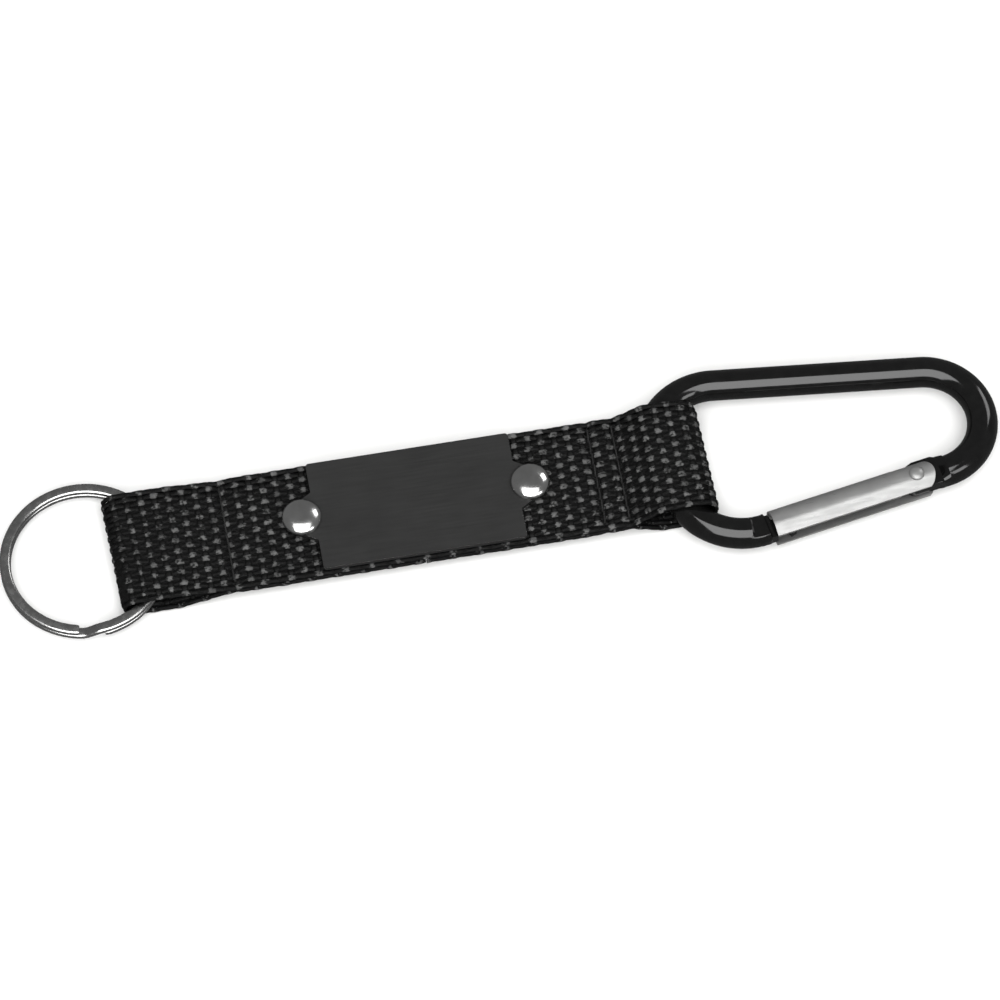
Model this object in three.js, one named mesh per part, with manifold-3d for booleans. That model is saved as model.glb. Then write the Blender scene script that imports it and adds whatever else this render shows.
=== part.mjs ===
// Carabiner keyring: a doubled webbing strap with a split ring in one end and a snap carabiner in the other.
// Units are millimetres and +Z is up. The strap lies flat along X: the split ring is at -X and the carabiner
// at +X. The model is drawn round the middle of the name plate, and the whole group is moved at the end so
// that the origin is below the middle of the object, on the surface that it lies on.
import * as THREE from "three";
import { ConvexGeometry } from "three/addons/geometries/ConvexGeometry.js";
import { mergeVertices } from "three/addons/utils/BufferGeometryUtils.js";
import Module from "manifold-3d";

// Webbing strap, one length folded back at both ends
const WEB_WIDTH = 20;
const WEB_THICK = 1.3; // one layer
const STRAP_Z = 3.5; // middle of the two layers under the name plate
const BEND_X = 24; // middle of the free stretch where the strap bends, each side of the plate
const BEND_GAP = 2; // length of that free stretch that is left open between the solids

// Seams across the strap
const SEAM_SPAN = 17;
const SEAM_STITCHES = 8;
const THREAD_THICK = 0.35;

// Name plate
const PLATE_LENGTH = 33;
const PLATE_WIDTH = 19;
const PLATE_THICK = 0.8;
const PLATE_CORNER = 0.5;
const TAB_ROOT_WIDTH = 8.6; // where each end tab leaves the plate
const TAB_END_RADIUS = 2.6; // round end of the tab, under the rivet head

// Two-part rivets that hold the plate
const RIVET_SPACING = 37.2;
const RIVET_HEAD_R = 3.2;
const RIVET_DOME = 1.5;
const RIVET_RIM = 0.3; // upright edge below the dome
const RIVET_POST_R = 1.4;
const RIVET_HOLE_R = 1.6;
const RIVET_BACK_R = 2.9;
const RIVET_BACK_THICK = 0.5;

// Split ring, two turns of flat wire
const RING_RADIUS = 13.5; // outside
const RING_BAND = 1.75; // radial width of the wire
const RING_COIL = 1; // height of one turn
const RING_COIL_GAP = 0.1;
const RING_CORNER = 0.35; // chamfer along the wire's edges
const RING_STEPS = 120;
const RING_X = -54;
const RING_RAMP_AT = THREE.MathUtils.degToRad(-92.5); // where the wire climbs to the upper turn
const RING_RAMP = THREE.MathUtils.degToRad(15);

// Loop round the split ring
const RING_FOLD_X = -50; // outside of the fold
const RING_SEAM_X = -30.8;

// Carabiner body: round bar bent on a closed outline of three arcs and the straight lines that join them
const BAR_R = 2.5;
const BOW_X = 83.6;
const BOW_Y = 0.4;
const BOW_R = 9.3; // narrow end, to the middle of the bar
const END_R = 11; // both corners of the wide end, inside the webbing
const SPINE_SLOPE = THREE.MathUtils.degToRad(5.8);
const SPINE_LENGTH = 33.8;
const GATE_SLOPE = THREE.MathUtils.degToRad(9.9);
const GATE_SIDE_LENGTH = 31.3;
const PIVOT_FROM_BOW = 5.3; // from the end of the bow's arc to the gate's pivot
const TONGUE_THICK = 2.4; // the flattened ends of the bar
const NOSE_THICK = 2;
const HINGE_SHOULDER = 4; // from the pivot to the full bar
const NOSE_SHOULDER = 25.7;
const NOSE_TIP = 21.2;

// Loop round the carabiner
const CARABINER_FOLD_X = 48;
const CARABINER_FOLD_WIDTH = 19.2; // the webbing draws in a little where it turns round the bar
const SEAM_INNER_X = 29.4;
const SEAM_OUTER_X = 33.4;

// Gate: a channel, open on the outside, that turns on a rivet
const GATE_FREE = 24.7; // from the pivot to the free end
const GATE_HEEL = 3; // from the pivot to the end of its ears
const GATE_R = 2.65; // round back
const GATE_WALL = 0.4;
const GATE_EDGE = 2.55; // from its middle to the edges of its flanges
const FLANGE_TILT = THREE.MathUtils.degToRad(25); // the flanges lean together towards the open side
const WEB_CUT = 3.6; // the channel's back stops this far short of the pivot
const WEB_CUT_HALF = 1.5; // half the height that is cut away there
const HEEL_R = 2.9; // round end of the ears
const HEEL_OFFSET = 0.1;
const STOP_AT = 13; // tab inside the channel that the spring pushes on
const STOP_THICK = 0.5;
const STOP_FROM = -0.6;
const WALL_STEPS = 18;
const HINGE_SHANK_R = 0.8;
const HINGE_HEAD_R = 1.25;
const HINGE_DOME = 0.6;

// Spring and push rod inside the gate
const ROD_OFFSET = 0.6; // off the gate's middle, so that turning the gate pushes the rod in
const ROD_R = 0.6;
const ROD_TIP = 2.35;
const ROD_END = 10;
const COLLAR_R = 1.1;
const COLLAR_AT = 4.4;
const COLLAR_THICK = 0.7;
const SPRING_R = 0.9; // to the middle of its wire
const SPRING_WIRE_R = 0.17;
const SPRING_TURNS = 7;

// Clearances and fineness
const FIT = 0.3; // free space between parts that move on each other
const LAID_ON = 0.1; // space under a piece that lies on another
const ROUND = 20; // sides of a small round
const DOME_STEPS = 5;
const BEYOND = 1; // how far a cutter reaches past what it cuts

const RING_HEIGHT = 2 * RING_COIL + RING_COIL_GAP;
const RING_LOOP_R = RING_HEIGHT / 2 + FIT + WEB_THICK;
const CARABINER_LOOP_R = BAR_R + FIT + WEB_THICK;
const PLATE_BOTTOM = STRAP_Z + WEB_THICK + LAID_ON;
const PLATE_TOP = PLATE_BOTTOM + PLATE_THICK;

const WEBBING = material(0x1b1b1b, 0.6, 0);
const THREAD = material(0x202020, 0.7, 0);
const PLATE = material(0x373737, 0.45, 0.6);
const NICKEL = material(0xc8c8c8, 0.25, 1);
const BLACK_ANODISED = material(0x1c1c1c, 0.25, 0.5);
const BRIGHT_ALUMINIUM = material(0xd6d6d6, 0.3, 1);
const STEEL = material(0xa8a8a8, 0.35, 1);

const wasm = await Module();
wasm.setup();

function material(color, roughness, metalness) {
  return new THREE.MeshStandardMaterial({ color, roughness, metalness });
}

// A closed geometry as a solid that can be cut and joined
function solid(geometry) {
  const bare = geometry.index ? geometry.toNonIndexed() : geometry.clone();
  bare.deleteAttribute("normal");
  bare.deleteAttribute("uv");
  const merged = mergeVertices(bare, 1e-4);
  const vertProperties = merged.attributes.position.array;
  const triVerts = new Uint32Array(merged.index.array);
  return new wasm.Manifold(new wasm.Mesh({ numProp: 3, vertProperties, triVerts }));
}

function geometryOf(shape) {
  const mesh = shape.getMesh();
  const geometry = new THREE.BufferGeometry();
  geometry.setAttribute("position", new THREE.BufferAttribute(mesh.vertProperties, 3));
  geometry.setIndex(new THREE.BufferAttribute(mesh.triVerts, 1));
  return geometry;
}

function addPiece(parent, name, shape, finish) {
  const mesh = new THREE.Mesh(geometryOf(shape), finish);
  mesh.name = name;
  parent.add(mesh);
}

function box(x0, x1, y0, y1, z0, z1) {
  const geometry = new THREE.BoxGeometry(x1 - x0, y1 - y0, z1 - z0);
  return solid(geometry.translate((x0 + x1) / 2, (y0 + y1) / 2, (z0 + z1) / 2));
}

function upright(x, y, radius, z0, z1) {
  const geometry = new THREE.CylinderGeometry(radius, radius, z1 - z0, ROUND);
  return solid(geometry.rotateX(Math.PI / 2).translate(x, y, (z0 + z1) / 2));
}

// A flat outline in X and Y, made solid from z0 to z1
function slab(outline, z0, z1) {
  const settings = { depth: z1 - z0, bevelEnabled: false, curveSegments: 8 };
  return solid(new THREE.ExtrudeGeometry(outline, settings).translate(0, 0, z0));
}

// A turned piece whose axis is upright at x, y: the profile is pairs of radius and height
function turned(profile, x, y) {
  const points = profile.map(([radius, height]) => new THREE.Vector2(radius, height));
  return solid(new THREE.LatheGeometry(points, ROUND).rotateX(Math.PI / 2).translate(x, y, 0));
}

// Profile of a shallow dome from its rim at the given height up (or down) to the axis
function domeProfile(radius, rim, rise) {
  const profile = [];
  for (let i = 0; i <= DOME_STEPS; i += 1) {
    const turn = (i / DOME_STEPS) * (Math.PI / 2);
    profile.push([radius * Math.cos(turn), rim + rise * Math.sin(turn)]);
  }
  profile[DOME_STEPS][0] = 0;
  return profile;
}

// ---- Webbing ----

// Points of a cross-section of webbing at x, so wide and from z0 to z1
function webSection(x, width, z0, z1) {
  const points = [];
  for (const y of [-width / 2, width / 2]) {
    points.push(new THREE.Vector3(x, y, z0), new THREE.Vector3(x, y, z1));
  }
  return points;
}

// Points of a round in X and Z, so wide in Y: hulled together, two of them make a flattened tube
function webRound(x, z, radius, width) {
  const points = [];
  const reach = radius / Math.cos(Math.PI / ROUND); // so that the flat below is at the full radius
  for (let i = 0; i < ROUND; i += 1) {
    const turn = ((i + 0.5) / ROUND) * 2 * Math.PI;
    for (const y of [-width / 2, width / 2]) {
      points.push(new THREE.Vector3(x + reach * Math.cos(turn), y, z + reach * Math.sin(turn)));
    }
  }
  return points;
}

function hull(points) {
  return solid(new ConvexGeometry(points));
}

function webbingMiddle() {
  const half = BEND_X - BEND_GAP / 2;
  const bottom = STRAP_Z - WEB_THICK;
  let webbing = box(-half, half, -WEB_WIDTH / 2, WEB_WIDTH / 2, bottom, STRAP_Z + WEB_THICK);
  for (const x of [-RIVET_SPACING / 2, RIVET_SPACING / 2]) {
    const hole = upright(x, 0, RIVET_HOLE_R, bottom - 1, PLATE_TOP);
    const dimple = upright(x, 0, RIVET_BACK_R + FIT, bottom - 1, bottom + RIVET_BACK_THICK + LAID_ON);
    webbing = webbing.subtract(hole).subtract(dimple);
  }
  return webbing;
}

// One end of the strap: flat and doubled from the bend to the seam, then open round a ring or a bar.
// side is -1 or 1, and every x below is a distance from the middle of the strap on that side.
function webbingLoop({ side, foldX, foldWidth, loopR, openFrom, openFull, flatZ, hollowPoint }) {
  const inner = loopR - WEB_THICK;
  const nearX = BEND_X + BEND_GAP / 2;
  const roundX = foldX - loopR;
  const flat = hull([
    ...webSection(side * nearX, WEB_WIDTH, STRAP_Z - WEB_THICK, STRAP_Z + WEB_THICK),
    ...webSection(side * openFrom, WEB_WIDTH, flatZ - WEB_THICK, flatZ + WEB_THICK),
  ]);
  const opened = hull([
    ...webSection(side * openFrom, WEB_WIDTH, flatZ - WEB_THICK, flatZ + WEB_THICK),
    ...webRound(side * openFull, loopR, loopR, WEB_WIDTH),
    ...webRound(side * roundX, loopR, loopR, foldWidth),
  ]);
  const hollow = hull([
    ...webSection(side * hollowPoint, 2 * WEB_WIDTH, loopR - LAID_ON, loopR + LAID_ON),
    ...webRound(side * openFull, loopR, inner, 2 * WEB_WIDTH),
    ...webRound(side * roundX, loopR, inner, 2 * WEB_WIDTH),
  ]);
  return flat.add(opened).subtract(hollow);
}

const RING_LOOP = {
  side: -1,
  foldX: -RING_FOLD_X,
  foldWidth: WEB_WIDTH,
  loopR: RING_LOOP_R,
  openFrom: 33,
  openFull: 40,
  flatZ: 3.3,
  hollowPoint: 35,
};

const CARABINER_LOOP = {
  side: 1,
  foldX: CARABINER_FOLD_X,
  foldWidth: CARABINER_FOLD_WIDTH,
  loopR: CARABINER_LOOP_R,
  openFrom: 34.2,
  openFull: 38.8,
  flatZ: 3.8,
  hollowPoint: 36.2,
};

// A row of stitches across the strap: one thread that stands up in the middle of each stitch. It lies on a
// face of the webbing at height z, on the upper face when up is 1 and on the lower when it is -1.
function stitchRow(x, z, up) {
  const pitch = SEAM_SPAN / SEAM_STITCHES;
  const outline = new THREE.Shape();
  outline.moveTo(-SEAM_SPAN / 2, 0);
  for (let i = 0; i < SEAM_STITCHES; i += 1) {
    const from = -SEAM_SPAN / 2 + i * pitch;
    outline.lineTo(from, THREAD_THICK / 2);
    outline.quadraticCurveTo(from + pitch / 2, 2 * THREAD_THICK, from + pitch, THREAD_THICK / 2);
  }
  outline.lineTo(SEAM_SPAN / 2, 0);
  const settings = { depth: THREAD_THICK, bevelEnabled: false, curveSegments: 4 };
  const row = solid(new THREE.ExtrudeGeometry(outline, settings));
  // The outline's X runs across the strap and its Y is up from the webbing
  const place = new THREE.Matrix4().makeBasis(
    new THREE.Vector3(0, up, 0),
    new THREE.Vector3(0, 0, up),
    new THREE.Vector3(1, 0, 0),
  );
  place.setPosition(x - THREAD_THICK / 2, 0, z);
  return row.transform(place.elements);
}

// Height of the middle of the strap at a distance from its middle, between the bend and the opened loop
function flatHeight(distance, loop) {
  const nearX = BEND_X + BEND_GAP / 2;
  const share = (distance - nearX) / (loop.openFrom - nearX);
  return THREE.MathUtils.lerp(STRAP_Z, loop.flatZ, share);
}

function addSeam(parent, name, loop, x) {
  const middle = flatHeight(Math.abs(x), loop);
  const lift = WEB_THICK + LAID_ON;
  addPiece(parent, `${name}_needle_thread`, stitchRow(x, middle + lift, 1), THREAD);
  addPiece(parent, `${name}_bobbin_thread`, stitchRow(x, middle - lift, -1), THREAD);
}

// ---- Name plate and its rivets ----

// The plate is a rectangle with small round corners and, in the middle of each short side, a tab
// that narrows to a round end under the rivet head.
function namePlate() {
  const halfL = PLATE_LENGTH / 2;
  const halfW = PLATE_WIDTH / 2;
  const rivetX = RIVET_SPACING / 2;
  const outline = new THREE.Shape();
  outline.moveTo(-halfL + PLATE_CORNER, -halfW);
  outline.absarc(halfL - PLATE_CORNER, -halfW + PLATE_CORNER, PLATE_CORNER, -Math.PI / 2, 0);
  outline.lineTo(halfL, -TAB_ROOT_WIDTH / 2);
  outline.absarc(rivetX, 0, TAB_END_RADIUS, -Math.PI / 3, Math.PI / 3);
  outline.lineTo(halfL, TAB_ROOT_WIDTH / 2);
  outline.absarc(halfL - PLATE_CORNER, halfW - PLATE_CORNER, PLATE_CORNER, 0, Math.PI / 2);
  outline.absarc(-halfL + PLATE_CORNER, halfW - PLATE_CORNER, PLATE_CORNER, Math.PI / 2, Math.PI);
  outline.lineTo(-halfL, TAB_ROOT_WIDTH / 2);
  outline.absarc(-rivetX, 0, TAB_END_RADIUS, (2 * Math.PI) / 3, (4 * Math.PI) / 3);
  outline.lineTo(-halfL, -TAB_ROOT_WIDTH / 2);
  outline.absarc(-halfL + PLATE_CORNER, -halfW + PLATE_CORNER, PLATE_CORNER, Math.PI, 1.5 * Math.PI);
  let plate = slab(outline, PLATE_BOTTOM, PLATE_TOP);
  for (const x of [-rivetX, rivetX]) {
    plate = plate.subtract(upright(x, 0, RIVET_HOLE_R, PLATE_BOTTOM - 1, PLATE_TOP + 1));
  }
  return plate;
}

// Domed head and the post that goes down through the plate and both layers of webbing
function rivetHead(x) {
  const rim = PLATE_TOP + LAID_ON;
  const postEnd = STRAP_Z - WEB_THICK + RIVET_BACK_THICK + LAID_ON;
  return turned(
    [
      [0, postEnd],
      [RIVET_POST_R, postEnd],
      [RIVET_POST_R, rim],
      [RIVET_HEAD_R, rim],
      ...domeProfile(RIVET_HEAD_R, rim + RIVET_RIM, RIVET_DOME - RIVET_RIM),
    ],
    x,
    0,
  );
}

// Cap that closes the rivet from behind, sunk into the underside of the webbing
function rivetBack(x) {
  const low = STRAP_Z - WEB_THICK;
  const high = low + RIVET_BACK_THICK;
  return turned(
    [
      [0, low],
      [RIVET_BACK_R - RIVET_RIM, low],
      [RIVET_BACK_R, low + RIVET_BACK_THICK / 2],
      [RIVET_BACK_R, high],
      [0, high],
    ],
    x,
    0,
  );
}

// ---- Split ring ----

// Middle line of the flat wire: nearly two turns, with one climb between them
class RingRoute extends THREE.Curve {
  constructor(first, last) {
    super();
    this.first = first;
    this.last = last;
  }

  getPoint(t, target = new THREE.Vector3()) {
    const wound = THREE.MathUtils.lerp(this.first, this.last, t);
    const rampStart = 2 * Math.PI - RING_RAMP / 2;
    const climbed = THREE.MathUtils.smoothstep(wound, rampStart, rampStart + RING_RAMP);
    const radius = RING_RADIUS - RING_BAND / 2;
    const angle = RING_RAMP_AT + wound;
    const rise = (climbed - 0.5) * (RING_COIL + RING_COIL_GAP);
    return target.set(RING_X + radius * Math.cos(angle), radius * Math.sin(angle), RING_LOOP_R + rise);
  }
}

// A flat section carried round the ring, always level, so that the two turns lie flat on each other
function splitRing() {
  const start = RING_RAMP / 2 + 0.03;
  const route = new RingRoute(start, 4 * Math.PI - start);
  const steps = RING_STEPS;
  const corner = RING_CORNER;
  const halfBand = RING_BAND / 2;
  const halfCoil = RING_COIL / 2;
  const section = [
    [-halfBand, -halfCoil + corner],
    [-halfBand + corner, -halfCoil],
    [halfBand - corner, -halfCoil],
    [halfBand, -halfCoil + corner],
    [halfBand, halfCoil - corner],
    [halfBand - corner, halfCoil],
    [-halfBand + corner, halfCoil],
    [-halfBand, halfCoil - corner],
  ];
  const sides = section.length;
  const position = [];
  const index = [];
  for (let i = 0; i <= steps; i += 1) {
    const middle = route.getPoint(i / steps);
    const outX = (middle.x - RING_X) / (RING_RADIUS - halfBand);
    const outY = middle.y / (RING_RADIUS - halfBand);
    for (const [out, up] of section) {
      position.push(middle.x + out * outX, middle.y + out * outY, middle.z + up);
    }
  }
  for (let i = 0; i < steps; i += 1) {
    for (let j = 0; j < sides; j += 1) {
      const a = i * sides + j;
      const b = i * sides + ((j + 1) % sides);
      index.push(a, b + sides, b, a, a + sides, b + sides);
    }
  }
  const lastRow = steps * sides;
  for (let j = 1; j < sides - 1; j += 1) {
    index.push(0, j, j + 1, lastRow, lastRow + j + 1, lastRow + j);
  }
  const geometry = new THREE.BufferGeometry();
  geometry.setAttribute("position", new THREE.Float32BufferAttribute(position, 3));
  geometry.setIndex(index);
  return solid(geometry);
}

// ---- Carabiner ----

// Directions along the spine and the gate side, towards the bow, and outwards from them
const spineAlong = new THREE.Vector2(Math.cos(SPINE_SLOPE), -Math.sin(SPINE_SLOPE));
const spineOut = new THREE.Vector2(Math.sin(SPINE_SLOPE), Math.cos(SPINE_SLOPE));
const gateAlong = new THREE.Vector2(Math.cos(GATE_SLOPE), Math.sin(GATE_SLOPE));
const gateOut = new THREE.Vector2(Math.sin(GATE_SLOPE), -Math.cos(GATE_SLOPE));
const bow = new THREE.Vector2(BOW_X, BOW_Y);

// A corner arc of the wide end shares its tangent line, the spine or the gate side, with the bow
function cornerCentre(along, out, length) {
  return bow.clone().addScaledVector(along, -length).addScaledVector(out, BOW_R - END_R);
}

const spineCorner = cornerCentre(spineAlong, spineOut, SPINE_LENGTH);
const gateCorner = cornerCentre(gateAlong, gateOut, GATE_SIDE_LENGTH);
const pivot = bow.clone().addScaledVector(gateOut, BOW_R).addScaledVector(gateAlong, -PIVOT_FROM_BOW);

// The bar's middle line, from the nose round the wide end, along the spine and round the bow to the hinge
class BarRoute extends THREE.Curve {
  constructor() {
    super();
    const nose = pivot.clone().addScaledVector(gateAlong, -NOSE_SHOULDER);
    const hinge = pivot.clone().addScaledVector(gateAlong, HINGE_SHOULDER);
    const gateTurn = gateOut.angle() - 2 * Math.PI;
    const spineTurn = spineOut.angle();
    const endWay = spineCorner.clone().sub(gateCorner);
    const endTurn = new THREE.Vector2(-endWay.y, endWay.x).angle();
    this.path = new THREE.Path();
    this.path.moveTo(nose.x, nose.y);
    this.path.absarc(gateCorner.x, gateCorner.y, END_R, gateTurn + 2 * Math.PI, endTurn, true);
    this.path.absarc(spineCorner.x, spineCorner.y, END_R, endTurn, spineTurn, true);
    this.path.absarc(bow.x, bow.y, BOW_R, spineTurn, gateTurn, true);
    this.path.lineTo(hinge.x, hinge.y);
  }

  getPoint(t, target = new THREE.Vector3()) {
    const point = this.path.getPoint(t);
    return target.set(point.x, point.y, CARABINER_LOOP_R);
  }
}

// Outline of the flat tongue at the hinge: pivot at 0, 0, the bow towards +X and the inside towards +Y
function hingeTongueOutline() {
  const outline = new THREE.Shape();
  outline.moveTo(HINGE_SHOULDER + 0.8, -2.1);
  outline.lineTo(HINGE_SHOULDER + 0.8, 2.2);
  outline.lineTo(HINGE_SHOULDER - 0.6, 2.9);
  outline.lineTo(0.2, 2.9);
  outline.lineTo(-1.2, 2.3);
  outline.lineTo(-2, 1.6);
  outline.lineTo(-2, -1.2);
  outline.lineTo(-0.8, -2.1);
  return outline;
}

// Outline of the nose that the closed gate wraps round: a neck and a wider head
function noseOutline() {
  const outline = new THREE.Shape();
  outline.moveTo(-NOSE_SHOULDER - 0.8, -2.2);
  outline.lineTo(-NOSE_SHOULDER + 1.2, -2.2);
  outline.lineTo(-NOSE_SHOULDER + 1.6, -1.2);
  outline.lineTo(-NOSE_TIP - 1.4, -1.2);
  outline.lineTo(-NOSE_TIP - 1, -2.2);
  outline.lineTo(-NOSE_TIP, -1.9);
  outline.lineTo(-NOSE_TIP, 0.9);
  outline.lineTo(-NOSE_SHOULDER + 1, 0.9);
  outline.lineTo(-NOSE_SHOULDER + 0.7, 1.9);
  outline.lineTo(-NOSE_SHOULDER - 0.8, 1.9);
  return outline;
}

// Moves a piece drawn round the pivot, gate along X, to its place on the carabiner
const gatePlace = new THREE.Matrix4()
  .makeRotationZ(GATE_SLOPE)
  .setPosition(pivot.x, pivot.y, CARABINER_LOOP_R);

function carabinerBody() {
  const round = new THREE.Shape().absarc(0, 0, BAR_R, 0, 2 * Math.PI);
  const settings = { extrudePath: new BarRoute(), steps: 84, curveSegments: 8 };
  const bar = solid(new THREE.ExtrudeGeometry(round, settings));
  const half = TONGUE_THICK / 2;
  const hole = upright(0, 0, HINGE_SHANK_R + LAID_ON, -half - BEYOND, half + BEYOND);
  const tongue = slab(hingeTongueOutline(), -half, half).subtract(hole);
  const nose = slab(noseOutline(), -NOSE_THICK / 2, NOSE_THICK / 2);
  const flats = geometryOf(tongue.add(nose)).applyMatrix4(gatePlace);
  return bar.add(solid(flats));
}

// ---- Gate, drawn round its pivot ----

// Line of the channel's wall at a radius, from the edge of one flange round the back to the other. Its X is
// the gate's Y and its Y is the gate's Z. A flange runs on straight from the end of the round back.
function wallLine(radius) {
  const edge = (radius - GATE_EDGE * Math.sin(FLANGE_TILT)) / Math.cos(FLANGE_TILT);
  const turn = Math.PI / 2 + FLANGE_TILT;
  const back = new THREE.Path().absarc(0, 0, radius, turn, -turn, true).getPoints(WALL_STEPS);
  return [new THREE.Vector2(-GATE_EDGE, edge), ...back, new THREE.Vector2(-GATE_EDGE, -edge)];
}

function gateChannel() {
  const outline = new THREE.Shape([...wallLine(GATE_R), ...wallLine(GATE_R - GATE_WALL).reverse()]);
  const settings = { depth: GATE_FREE + GATE_HEEL, bevelEnabled: false };
  const turn = new THREE.Matrix4().makeBasis(
    new THREE.Vector3(0, 1, 0),
    new THREE.Vector3(0, 0, 1),
    new THREE.Vector3(1, 0, 0),
  );
  const shell = new THREE.ExtrudeGeometry(outline, settings).applyMatrix4(turn).translate(-GATE_FREE, 0, 0);
  const far = GATE_R + BEYOND;
  const backCut = box(-WEB_CUT, GATE_HEEL + BEYOND, -far, far, -WEB_CUT_HALF, WEB_CUT_HALF);
  const hole = upright(0, 0, HINGE_SHANK_R + 2 * LAID_ON, -far, far);
  const heel = upright(HEEL_OFFSET, -HEEL_OFFSET, HEEL_R, -far, far);
  const within = heel.add(box(-GATE_FREE - BEYOND, HEEL_OFFSET, -far, far, -far, far));
  const channel = solid(shell).subtract(backCut).subtract(hole).intersect(within);
  return channel.add(springStop());
}

// Tab across the inside of the channel that the spring pushes on
function springStop() {
  const reach = GATE_R - GATE_WALL / 2;
  const tab = box(-STOP_AT - STOP_THICK, -STOP_AT, STOP_FROM, reach, -reach, reach);
  const round = new THREE.CylinderGeometry(reach, reach, 2 * BEYOND, 2 * WALL_STEPS).rotateZ(Math.PI / 2);
  return tab.intersect(solid(round.translate(-STOP_AT, 0, 0)));
}

// Rivet that the gate turns on, with a low dome above and below the ears
function hingeRivet() {
  const face = GATE_R + LAID_ON;
  const below = domeProfile(HINGE_HEAD_R, -face, -HINGE_DOME).reverse();
  const above = domeProfile(HINGE_HEAD_R, face, HINGE_DOME);
  return turned([...below, [HINGE_SHANK_R, -face], [HINGE_SHANK_R, face], ...above], 0, 0);
}

function alongGate(profile) {
  const points = profile.map(([radius, distance]) => new THREE.Vector2(radius, -distance));
  return solid(new THREE.LatheGeometry(points, 12).rotateZ(-Math.PI / 2).translate(0, ROD_OFFSET, 0));
}

// Rod with a round tip on the hinge tongue and a collar that the spring pushes
function pushRod() {
  return alongGate([
    [0, ROD_END],
    [ROD_R - 0.15, ROD_END],
    [ROD_R - 0.15, COLLAR_AT + COLLAR_THICK],
    [COLLAR_R, COLLAR_AT + COLLAR_THICK],
    [COLLAR_R, COLLAR_AT],
    [ROD_R, COLLAR_AT],
    [ROD_R, ROD_TIP + 0.3],
    [ROD_R - 0.25, ROD_TIP],
    [0, ROD_TIP],
  ]);
}

class SpringRoute extends THREE.Curve {
  getPoint(t, target = new THREE.Vector3()) {
    const near = COLLAR_AT + COLLAR_THICK + SPRING_WIRE_R + LAID_ON;
    const far = STOP_AT - SPRING_WIRE_R - LAID_ON;
    const turn = 2 * Math.PI * SPRING_TURNS * t;
    const y = ROD_OFFSET + SPRING_R * Math.cos(turn);
    return target.set(-THREE.MathUtils.lerp(near, far, t), y, SPRING_R * Math.sin(turn));
  }
}

function gateSpring() {
  const wire = new THREE.Shape().absarc(0, 0, SPRING_WIRE_R, 0, 2 * Math.PI);
  const settings = { extrudePath: new SpringRoute(), steps: 12 * SPRING_TURNS, curveSegments: 3 };
  return solid(new THREE.ExtrudeGeometry(wire, settings));
}

// ---- Assembly ----

const group = new THREE.Group();

addPiece(group, "webbing_middle", webbingMiddle(), WEBBING);
addPiece(group, "webbing_ring_loop", webbingLoop(RING_LOOP), WEBBING);
addPiece(group, "webbing_carabiner_loop", webbingLoop(CARABINER_LOOP), WEBBING);
addSeam(group, "ring_seam", RING_LOOP, RING_SEAM_X);
addSeam(group, "carabiner_seam_inner", CARABINER_LOOP, SEAM_INNER_X);
addSeam(group, "carabiner_seam_outer", CARABINER_LOOP, SEAM_OUTER_X);

addPiece(group, "name_plate", namePlate(), PLATE);
for (const [end, x] of [["ring", -RIVET_SPACING / 2], ["carabiner", RIVET_SPACING / 2]]) {
  addPiece(group, `rivet_${end}_side_head`, rivetHead(x), NICKEL);
  addPiece(group, `rivet_${end}_side_back`, rivetBack(x), NICKEL);
}

addPiece(group, "split_ring", splitRing(), NICKEL);
addPiece(group, "carabiner_body", carabinerBody(), BLACK_ANODISED);

const gate = new THREE.Group();
gate.applyMatrix4(gatePlace);
addPiece(gate, "gate_channel", gateChannel(), BRIGHT_ALUMINIUM);
addPiece(gate, "gate_hinge_rivet", hingeRivet(), BRIGHT_ALUMINIUM);
addPiece(gate, "gate_push_rod", pushRod(), STEEL);
addPiece(gate, "gate_spring", gateSpring(), STEEL);
group.add(gate);

// The origin goes below the middle of the whole object, at the level of its lowest point
const extent = new THREE.Box3().setFromObject(group, true);
const middle = extent.getCenter(new THREE.Vector3());
group.position.set(-middle.x, -middle.y, -extent.min.z);

export default group;
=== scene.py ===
"""Looks of the carabiner keyring: woven webbing, stitches, name plate, rivets, split ring and carabiner.

Lengths are in millimetres in the strap's own frame, whose origin is below the middle of the name plate,
until place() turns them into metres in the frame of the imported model.
"""

import math

import bpy
import numpy as np
from mathutils import Matrix, Vector


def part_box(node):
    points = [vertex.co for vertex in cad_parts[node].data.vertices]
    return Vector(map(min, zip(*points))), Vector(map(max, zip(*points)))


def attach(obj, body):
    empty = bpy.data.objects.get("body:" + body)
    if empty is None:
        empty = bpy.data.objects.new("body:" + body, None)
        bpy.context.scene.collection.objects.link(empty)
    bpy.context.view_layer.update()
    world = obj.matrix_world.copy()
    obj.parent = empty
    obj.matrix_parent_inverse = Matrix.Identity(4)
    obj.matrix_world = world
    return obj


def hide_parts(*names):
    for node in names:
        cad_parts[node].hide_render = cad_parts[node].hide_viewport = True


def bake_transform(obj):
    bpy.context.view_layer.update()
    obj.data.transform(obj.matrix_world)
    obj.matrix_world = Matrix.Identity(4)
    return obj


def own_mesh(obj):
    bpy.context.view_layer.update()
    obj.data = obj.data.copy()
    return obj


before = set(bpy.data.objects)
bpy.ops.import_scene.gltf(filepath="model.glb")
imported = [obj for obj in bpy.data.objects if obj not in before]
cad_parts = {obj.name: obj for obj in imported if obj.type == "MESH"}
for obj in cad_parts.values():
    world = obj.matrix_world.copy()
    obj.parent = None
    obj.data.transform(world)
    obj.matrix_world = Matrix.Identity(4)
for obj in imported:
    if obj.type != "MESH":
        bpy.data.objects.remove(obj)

MM = 0.001
SEED = 7

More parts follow.
